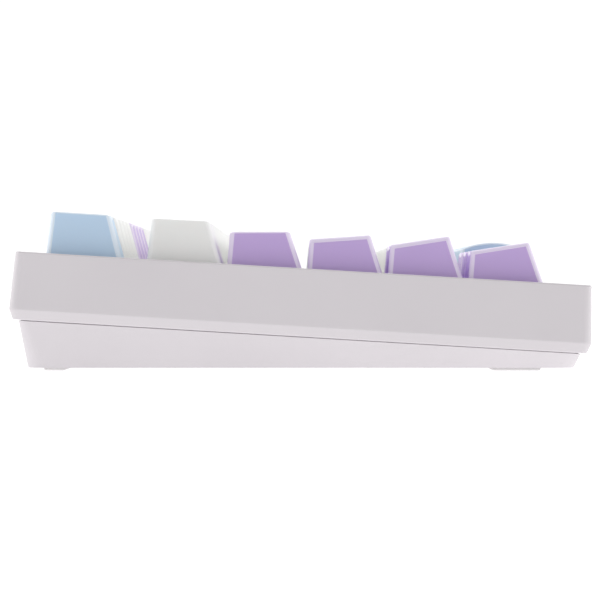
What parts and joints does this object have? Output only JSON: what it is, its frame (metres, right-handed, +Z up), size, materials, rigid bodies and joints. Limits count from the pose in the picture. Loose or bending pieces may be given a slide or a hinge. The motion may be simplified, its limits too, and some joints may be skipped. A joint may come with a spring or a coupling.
{
  "type": "mechanical keyboard",
  "caption": "Compact wired mechanical keyboard with sloping two-piece case, sculpted keycaps in white, lavender and pale blue, and fold-out rear feet.",
  "frame": {"origin": "on the desk surface, under the middle of the overall bounding box", "axes": "+X to the typist's right, +Y to the back, +Z up"},
  "size_m": [0.3244, 0.1368, 0.0378],
  "materials": {
    "case_shell": "lightly textured white moulded plastic",
    "white_keycap": "fine matt white keycap plastic",
    "purple_keycap": "fine matt lavender keycap plastic",
    "blue_keycap": "fine matt pale blue keycap plastic",
    "rubber": "soft pale grey rubber",
    "plate_paint": "white powder coat",
    "board": "black solder mask",
    "foam": "dark closed-cell foam",
    "screw_steel": "zinc-plated steel",
    "plug_shell": "nickel-plated steel",
    "switch_housing": "white nylon",
    "switch_cover": "milky polycarbonate",
    "spring_steel": "plated spring wire",
    "contact_brass": "phosphor bronze",
    "socket_plastic": "black moulded socket"
  },
  "bodies": {
    "case": {"top_case": "case_shell", "bottom_case": "case_shell", "rubber_feet": "rubber", "switch_plate": "plate_paint", "circuit_board": "board", "plate_foam": "foam", "case_foam": "foam", "plate_screws": "screw_steel", "usb_socket": "plug_shell", "switch_bases": "switch_housing", "switch_covers": "switch_cover", "switch_springs": "spring_steel", "switch_contacts": "contact_brass", "hot_swap_sockets": "socket_plastic", "stabiliser_housings": "switch_housing"},
    "escape_key": {"key_escape": "blue_keycap"},
    "tab_key": {"key_tab": "purple_keycap"},
    "caps_lock_key": {"key_caps_lock": "purple_keycap"},
    "left_shift_key": {"key_left_shift": "purple_keycap"},
    "left_control_key": {"key_left_control": "purple_keycap"},
    "space_key": {"key_space": "blue_keycap"},
    "enter_key": {"key_enter": "blue_keycap"},
    "backspace_key": {"key_backspace": "purple_keycap"},
    "q_key": {"key_q": "white_keycap"},
    "w_key": {"key_w": "white_keycap"},
    "e_key": {"key_e": "white_keycap"},
    "r_key": {"key_r": "white_keycap"},
    "t_key": {"key_t": "white_keycap"},
    "y_key": {"key_y": "white_keycap"},
    "u_key": {"key_u": "white_keycap"},
    "i_key": {"key_i": "white_keycap"},
    "o_key": {"key_o": "white_keycap"},
    "p_key": {"key_p": "white_keycap"},
    "a_key": {"key_a": "white_keycap"},
    "s_key": {"key_s": "white_keycap"},
    "d_key": {"key_d": "white_keycap"},
    "f_key": {"key_f": "white_keycap"},
    "g_key": {"key_g": "white_keycap"},
    "h_key": {"key_h": "white_keycap"},
    "j_key": {"key_j": "white_keycap"},
    "k_key": {"key_k": "white_keycap"},
    "l_key": {"key_l": "white_keycap"},
    "z_key": {"key_z": "white_keycap"},
    "x_key": {"key_x": "white_keycap"},
    "c_key": {"key_c": "white_keycap"},
    "v_key": {"key_v": "white_keycap"},
    "b_key": {"key_b": "white_keycap"},
    "n_key": {"key_n": "white_keycap"},
    "m_key": {"key_m": "white_keycap"},
    "function_keys": {"function_keys": "white_keycap"},
    "number_keys": {"number_keys": "white_keycap"},
    "punctuation_keys": {"punctuation_keys": "white_keycap"},
    "modifier_keys": {"modifier_keys": "purple_keycap"},
    "navigation_keys": {"navigation_keys": "purple_keycap"},
    "space_wire": {"stabiliser_wire_space": "spring_steel"},
    "left_shift_wire": {"stabiliser_wire_left_shift": "spring_steel"},
    "enter_wire": {"stabiliser_wire_enter": "spring_steel"},
    "backspace_wire": {"stabiliser_wire_backspace": "spring_steel"},
    "flip_foot_left": {"flip_foot_left": "case_shell"},
    "flip_foot_right": {"flip_foot_right": "case_shell"}
  },
  "joints": [
    {"name": "escape_press", "type": "slide", "parent": "case", "child": "escape_key", "axis": [0, 0.0593, -0.9982], "range_m": [0, 0.004], "stiffness_N_per_m": 150, "springref_m": -0.003},
    {"name": "tab_press", "type": "slide", "parent": "case", "child": "tab_key", "axis": [0, 0.0593, -0.9982], "range_m": [0, 0.004], "stiffness_N_per_m": 150, "springref_m": -0.003},
    {"name": "caps_lock_press", "type": "slide", "parent": "case", "child": "caps_lock_key", "axis": [0, 0.0593, -0.9982], "range_m": [0, 0.004], "stiffness_N_per_m": 150, "springref_m": -0.003},
    {"name": "left_shift_press", "type": "slide", "parent": "case", "child": "left_shift_key", "axis": [0, 0.0593, -0.9982], "range_m": [0, 0.004], "stiffness_N_per_m": 150, "springref_m": -0.003},
    {"name": "left_control_press", "type": "slide", "parent": "case", "child": "left_control_key", "axis": [0, 0.0593, -0.9982], "range_m": [0, 0.004], "stiffness_N_per_m": 150, "springref_m": -0.003},
    {"name": "space_press", "type": "slide", "parent": "case", "child": "space_key", "axis": [0, 0.0593, -0.9982], "range_m": [0, 0.004], "stiffness_N_per_m": 150, "springref_m": -0.003, "deforming": ["switch_springs"]},
    {"name": "enter_press", "type": "slide", "parent": "case", "child": "enter_key", "axis": [0, 0.0593, -0.9982], "range_m": [0, 0.004], "stiffness_N_per_m": 150, "springref_m": -0.003},
    {"name": "backspace_press", "type": "slide", "parent": "case", "child": "backspace_key", "axis": [0, 0.0593, -0.9982], "range_m": [0, 0.004], "stiffness_N_per_m": 150, "springref_m": -0.003},
    {"name": "q_press", "type": "slide", "parent": "case", "child": "q_key", "axis": [0, 0.0593, -0.9982], "range_m": [0, 0.004], "stiffness_N_per_m": 150, "springref_m": -0.003},
    {"name": "w_press", "type": "slide", "parent": "case", "child": "w_key", "axis": [0, 0.0593, -0.9982], "range_m": [0, 0.004], "stiffness_N_per_m": 150, "springref_m": -0.003},
    {"name": "e_press", "type": "slide", "parent": "case", "child": "e_key", "axis": [0, 0.0593, -0.9982], "range_m": [0, 0.004], "stiffness_N_per_m": 150, "springref_m": -0.003},
    {"name": "r_press", "type": "slide", "parent": "case", "child": "r_key", "axis": [0, 0.0593, -0.9982], "range_m": [0, 0.004], "stiffness_N_per_m": 150, "springref_m": -0.003},
    {"name": "t_press", "type": "slide", "parent": "case", "child": "t_key", "axis": [0, 0.0593, -0.9982], "range_m": [0, 0.004], "stiffness_N_per_m": 150, "springref_m": -0.003},
    {"name": "y_press", "type": "slide", "parent": "case", "child": "y_key", "axis": [0, 0.0593, -0.9982], "range_m": [0, 0.004], "stiffness_N_per_m": 150, "springref_m": -0.003},
    {"name": "u_press", "type": "slide", "parent": "case", "child": "u_key", "axis": [0, 0.0593, -0.9982], "range_m": [0, 0.004], "stiffness_N_per_m": 150, "springref_m": -0.003},
    {"name": "i_press", "type": "slide", "parent": "case", "child": "i_key", "axis": [0, 0.0593, -0.9982], "range_m": [0, 0.004], "stiffness_N_per_m": 150, "springref_m": -0.003},
    {"name": "o_press", "type": "slide", "parent": "case", "child": "o_key", "axis": [0, 0.0593, -0.9982], "range_m": [0, 0.004], "stiffness_N_per_m": 150, "springref_m": -0.003},
    {"name": "p_press", "type": "slide", "parent": "case", "child": "p_key", "axis": [0, 0.0593, -0.9982], "range_m": [0, 0.004], "stiffness_N_per_m": 150, "springref_m": -0.003},
    {"name": "a_press", "type": "slide", "parent": "case", "child": "a_key", "axis": [0, 0.0593, -0.9982], "range_m": [0, 0.004], "stiffness_N_per_m": 150, "springref_m": -0.003},
    {"name": "s_press", "type": "slide", "parent": "case", "child": "s_key", "axis": [0, 0.0593, -0.9982], "range_m": [0, 0.004], "stiffness_N_per_m": 150, "springref_m": -0.003},
    {"name": "d_press", "type": "slide", "parent": "case", "child": "d_key", "axis": [0, 0.0593, -0.9982], "range_m": [0, 0.004], "stiffness_N_per_m": 150, "springref_m": -0.003},
    {"name": "f_press", "type": "slide", "parent": "case", "child": "f_key", "axis": [0, 0.0593, -0.9982], "range_m": [0, 0.004], "stiffness_N_per_m": 150, "springref_m": -0.003},
    {"name": "g_press", "type": "slide", "parent": "case", "child": "g_key", "axis": [0, 0.0593, -0.9982], "range_m": [0, 0.004], "stiffness_N_per_m": 150, "springref_m": -0.003},
    {"name": "h_press", "type": "slide", "parent": "case", "child": "h_key", "axis": [0, 0.0593, -0.9982], "range_m": [0, 0.004], "stiffness_N_per_m": 150, "springref_m": -0.003},
    {"name": "j_press", "type": "slide", "parent": "case", "child": "j_key", "axis": [0, 0.0593, -0.9982], "range_m": [0, 0.004], "stiffness_N_per_m": 150, "springref_m": -0.003},
    {"name": "k_press", "type": "slide", "parent": "case", "child": "k_key", "axis": [0, 0.0593, -0.9982], "range_m": [0, 0.004], "stiffness_N_per_m": 150, "springref_m": -0.003},
    {"name": "l_press", "type": "slide", "parent": "case", "child": "l_key", "axis": [0, 0.0593, -0.9982], "range_m": [0, 0.004], "stiffness_N_per_m": 150, "springref_m": -0.003},
    {"name": "z_press", "type": "slide", "parent": "case", "child": "z_key", "axis": [0, 0.0593, -0.9982], "range_m": [0, 0.004], "stiffness_N_per_m": 150, "springref_m": -0.003},
    {"name": "x_press", "type": "slide", "parent": "case", "child": "x_key", "axis": [0, 0.0593, -0.9982], "range_m": [0, 0.004], "stiffness_N_per_m": 150, "springref_m": -0.003},
    {"name": "c_press", "type": "slide", "parent": "case", "child": "c_key", "axis": [0, 0.0593, -0.9982], "range_m": [0, 0.004], "stiffness_N_per_m": 150, "springref_m": -0.003},
    {"name": "v_press", "type": "slide", "parent": "case", "child": "v_key", "axis": [0, 0.0593, -0.9982], "range_m": [0, 0.004], "stiffness_N_per_m": 150, "springref_m": -0.003},
    {"name": "b_press", "type": "slide", "parent": "case", "child": "b_key", "axis": [0, 0.0593, -0.9982], "range_m": [0, 0.004], "stiffness_N_per_m": 150, "springref_m": -0.003},
    {"name": "n_press", "type": "slide", "parent": "case", "child": "n_key", "axis": [0, 0.0593, -0.9982], "range_m": [0, 0.004], "stiffness_N_per_m": 150, "springref_m": -0.003},
    {"name": "m_press", "type": "slide", "parent": "case", "child": "m_key", "axis": [0, 0.0593, -0.9982], "range_m": [0, 0.004], "stiffness_N_per_m": 150, "springref_m": -0.003},
    {"name": "function_keys_press", "type": "slide", "parent": "case", "child": "function_keys", "axis": [0, 0.0593, -0.9982], "range_m": [0, 0.004], "stiffness_N_per_m": 1800, "springref_m": -0.003},
    {"name": "number_keys_press", "type": "slide", "parent": "case", "child": "number_keys", "axis": [0, 0.0593, -0.9982], "range_m": [0, 0.004], "stiffness_N_per_m": 1950, "springref_m": -0.003},
    {"name": "punctuation_keys_press", "type": "slide", "parent": "case", "child": "punctuation_keys", "axis": [0, 0.0593, -0.9982], "range_m": [0, 0.004], "stiffness_N_per_m": 1200, "springref_m": -0.003},
    {"name": "modifier_keys_press", "type": "slide", "parent": "case", "child": "modifier_keys", "axis": [0, 0.0593, -0.9982], "range_m": [0, 0.004], "stiffness_N_per_m": 900, "springref_m": -0.003},
    {"name": "navigation_keys_press", "type": "slide", "parent": "case", "child": "navigation_keys", "axis": [0, 0.0593, -0.9982], "range_m": [0, 0.004], "stiffness_N_per_m": 1500, "springref_m": -0.003},
    {"name": "space_wire_turn", "type": "hinge", "parent": "case", "child": "space_wire", "pos_m": [-0.02381, -0.05752, 0.01352], "axis": [-1, 0, 0], "range_deg": [0, 26.37]},
    {"name": "left_shift_wire_turn", "type": "hinge", "parent": "case", "child": "left_shift_wire", "pos_m": [-0.13335, -0.03851, 0.01465], "axis": [-1, 0, 0], "range_deg": [0, 26.37]},
    {"name": "enter_wire_turn", "type": "hinge", "parent": "case", "child": "enter_wire", "pos_m": [0.10954, -0.01949, 0.01578], "axis": [-1, 0, 0], "range_deg": [0, 26.37]},
    {"name": "backspace_wire_turn", "type": "hinge", "parent": "case", "child": "backspace_wire", "pos_m": [0.11192, 0.01854, 0.01804], "axis": [-1, 0, 0], "range_deg": [0, 26.37]},
    {"name": "flip_foot_left_fold", "type": "hinge", "parent": "case", "child": "flip_foot_left", "pos_m": [-0.112, 0.0492, 0.0031], "axis": [1, 0, 0], "range_deg": [0, 105]},
    {"name": "flip_foot_right_fold", "type": "hinge", "parent": "case", "child": "flip_foot_right", "pos_m": [0.112, 0.0492, 0.0031], "axis": [1, 0, 0], "range_deg": [0, 105]}
  ],
  "couplings": [
    {"joint": "space_wire_turn", "follows": "space_press", "rad_per_m": 114.64},
    {"joint": "left_shift_wire_turn", "follows": "left_shift_press", "rad_per_m": 114.64},
    {"joint": "enter_wire_turn", "follows": "enter_press", "rad_per_m": 114.64},
    {"joint": "backspace_wire_turn", "follows": "backspace_press", "rad_per_m": 114.64}
  ]
}
